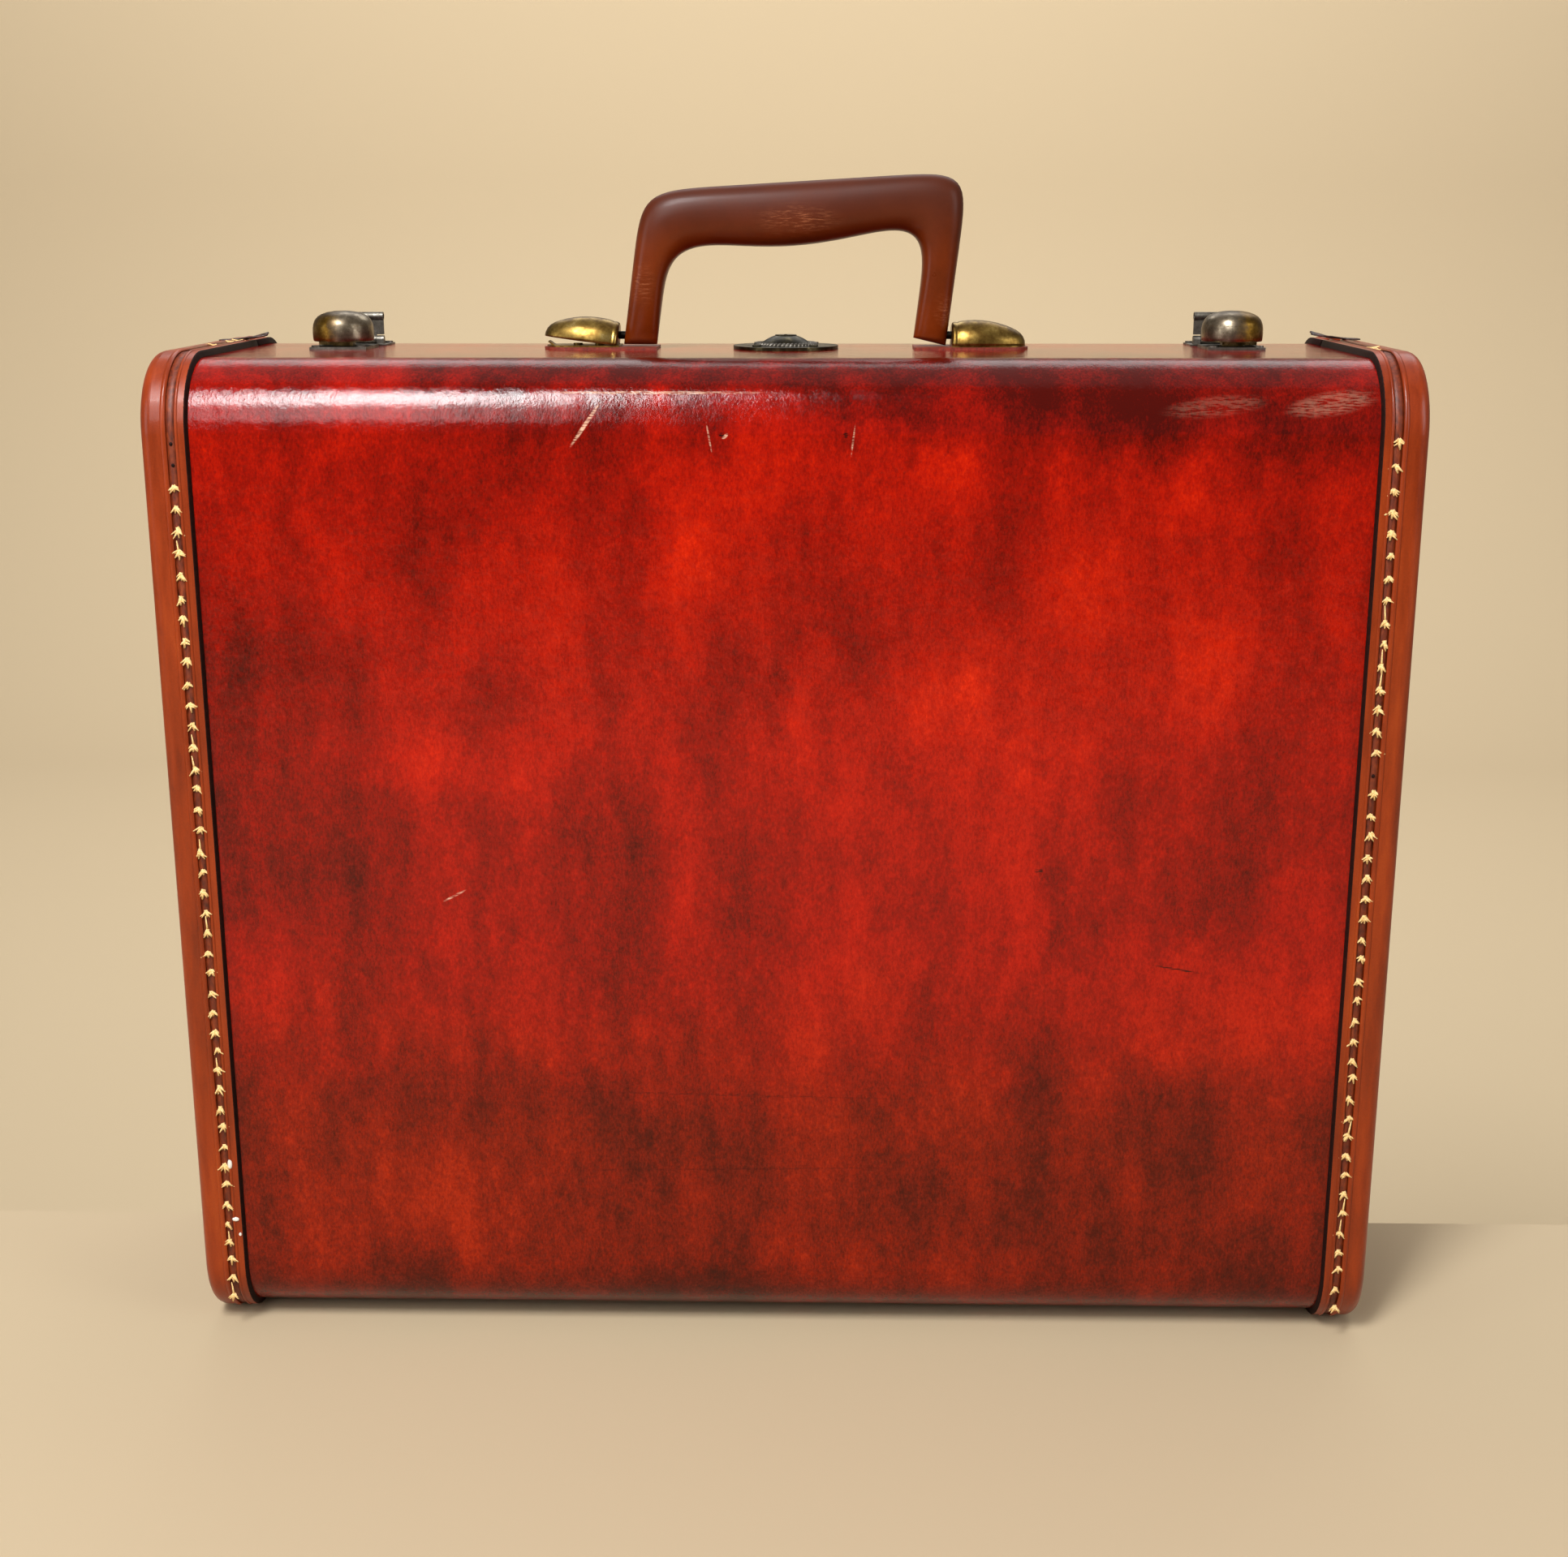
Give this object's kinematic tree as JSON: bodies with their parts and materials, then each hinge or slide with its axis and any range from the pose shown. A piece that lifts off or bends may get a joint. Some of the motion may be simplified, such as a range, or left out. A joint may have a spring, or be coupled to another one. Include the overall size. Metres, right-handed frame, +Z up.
{
  "type": "vintage suitcase",
  "caption": "Hard suitcase of marbled red-brown fibre on bent ply, with stitched end bindings, a swinging moulded handle, brass latches and lock, and a hinged rear lid.",
  "frame": {"origin": "middle of the footprint on the ground, under the closed case standing on its hinge side", "axes": "+X across the width to the right of the front, +Y from the front to the lid, +Z up towards the handle"},
  "size_m": [0.457, 0.15, 0.4438],
  "materials": {
    "covering": "glossy marbled red-brown vulcanised fibre, scuffed",
    "covered_ply": "ply faced with glossy marbled fibre",
    "binding": "tan-brown polished leather, stitched",
    "ply": "bare birch ply",
    "lining": "matt lining paper",
    "grip": "moulded brown plastic, satin from handling",
    "brass": "polished brass with brown tarnish",
    "worn_brass": "tarnished grey-gold brass",
    "steel": "dull plated steel",
    "pad": "red-brown polished leather"
  },
  "bodies": {
    "base": {"base_shell": "ply", "base_end_left": "covered_ply", "base_end_right": "covered_ply", "base_cover": "covering", "base_binding_left": "binding", "base_binding_right": "binding", "base_rim": "ply", "base_lining": "lining", "hinge_base_leaf_left": "brass", "hinge_base_leaf_right": "brass", "hinge_pin_left": "steel", "hinge_pin_right": "steel", "hinge_base_rivets": "brass", "handle_pin_left": "steel", "handle_pin_right": "steel", "handle_bracket_left": "brass", "handle_bracket_right": "brass", "handle_plate_left": "brass", "handle_plate_right": "brass", "handle_pad_left": "pad", "handle_pad_right": "pad", "handle_rivets": "brass", "latch_plate_left": "steel", "latch_plate_right": "steel", "latch_rivets": "steel", "lock_flange": "worn_brass", "lock_dome": "worn_brass", "lock_case": "steel", "lock_rivets": "worn_brass"},
    "lid": {"lid_shell": "ply", "lid_end_left": "covered_ply", "lid_end_right": "covered_ply", "lid_cover": "covering", "lid_binding_left": "binding", "lid_binding_right": "binding", "lid_lining": "lining", "hinge_lid_leaf_left": "brass", "hinge_lid_leaf_right": "brass", "hinge_lid_rivets": "brass", "latch_hasp_pin_left": "steel", "latch_hasp_pin_right": "steel", "latch_keeper_left": "steel", "latch_keeper_right": "steel", "keeper_rivets": "steel", "lock_striker": "steel"},
    "handle": {"handle_grip": "grip"},
    "slide_left": {"latch_slide_left": "worn_brass"},
    "slide_right": {"latch_slide_right": "worn_brass"},
    "hasp_left": {"latch_hasp_left": "worn_brass"},
    "hasp_right": {"latch_hasp_right": "worn_brass"},
    "plug": {"lock_plug": "worn_brass"},
    "bolt": {"lock_bolt": "steel"}
  },
  "joints": [
    {"name": "lid_hinge", "type": "hinge", "parent": "base", "child": "lid", "pos_m": [0, 0.028, 0.0022], "axis": [-1, 0, 0], "range_deg": [0, 110]},
    {"name": "handle_swing", "type": "hinge", "parent": "base", "child": "handle", "pos_m": [0, 0.012, 0.3836], "axis": [1, 0, 0], "range_deg": [-78, 78]},
    {"name": "latch_slide_left", "type": "slide", "parent": "base", "child": "slide_left", "axis": [-1, 0, 0], "range_m": [-0.004, 0]},
    {"name": "latch_slide_right", "type": "slide", "parent": "base", "child": "slide_right", "axis": [1, 0, 0], "range_m": [-0.004, 0]},
    {"name": "latch_hasp_left", "type": "hinge", "parent": "lid", "child": "hasp_left", "pos_m": [-0.169, 0.0355, 0.3807], "axis": [-1, 0, 0], "range_deg": [-90, 45], "stiffness_Nm_per_rad": 0.003},
    {"name": "latch_hasp_right", "type": "hinge", "parent": "lid", "child": "hasp_right", "pos_m": [0.169, 0.0355, 0.3807], "axis": [-1, 0, 0], "range_deg": [-90, 45], "stiffness_Nm_per_rad": 0.003},
    {"name": "lock_turn", "type": "hinge", "parent": "base", "child": "plug", "pos_m": [0, 0.012, 0.371], "axis": [0, 0, 1], "range_deg": [0, 90]},
    {"name": "bolt_slide", "type": "slide", "parent": "base", "child": "bolt", "axis": [0, 1, 0], "range_m": [0, 0.007]}
  ],
  "couplings": [
    {"joint": "bolt_slide", "follows": "lock_turn", "m_per_rad": 0.0044563}
  ]
}
